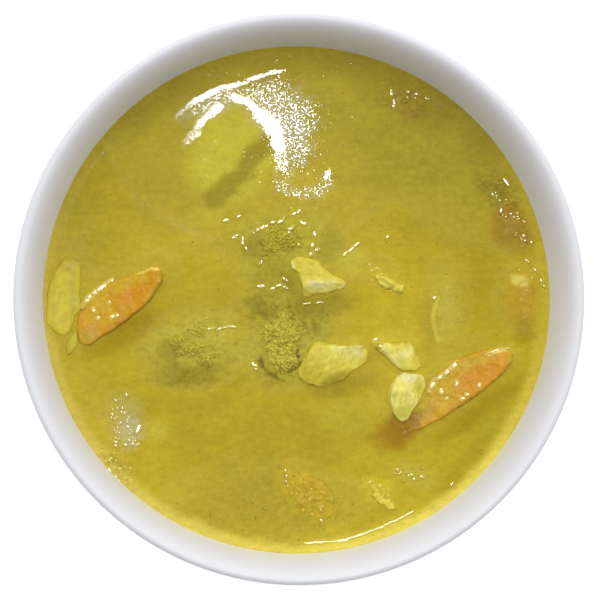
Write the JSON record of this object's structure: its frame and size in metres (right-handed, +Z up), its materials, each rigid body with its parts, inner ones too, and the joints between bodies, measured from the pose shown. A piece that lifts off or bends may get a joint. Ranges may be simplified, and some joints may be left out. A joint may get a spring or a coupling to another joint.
{
  "type": "thai green curry",
  "caption": "Coconut curry with chicken, carrot, broccoli and courgette, filling a round white porcelain bowl on a foot ring to just below its rim.",
  "frame": {"origin": "centre of the foot ring, on the surface the bowl stands on", "axes": "+Z up along the bowl's axis; +X to the eater's right and +Y away from the eater, as the bowl is seen from above"},
  "size_m": [0.16, 0.16, 0.068],
  "materials": {
    "porcelain": "white, smooth clear glaze",
    "curry_sauce": "wet, glossy, yellow-olive coconut sauce with fine specks",
    "carrot": "cooked orange root, wet with sauce",
    "pepper": "soft red-brown pepper, wet",
    "chicken": "pale cooked chicken, stained yellow, moist",
    "courgette": "translucent pale yellow-green, wet",
    "broccoli": "soft olive-green buds coated in sauce"
  },
  "bodies": {
    "root": {"bowl": "porcelain", "curry": "curry_sauce", "carrot_right": "carrot", "carrot_left": "carrot", "carrot_bottom": "carrot", "carrot_rim": "carrot", "pepper_rim": "pepper", "pepper_top": "pepper", "chicken_centre": "chicken", "chicken_low": "chicken", "chicken_right_upper": "chicken", "chicken_right_lower": "chicken", "chicken_crumb": "chicken", "chicken_shred": "chicken", "courgette_left": "courgette", "courgette_right": "courgette", "onion_sliver": "courgette", "broccoli_upper": "broccoli", "broccoli_centre": "broccoli", "broccoli_left": "broccoli"}
  },
  "joints": []
}
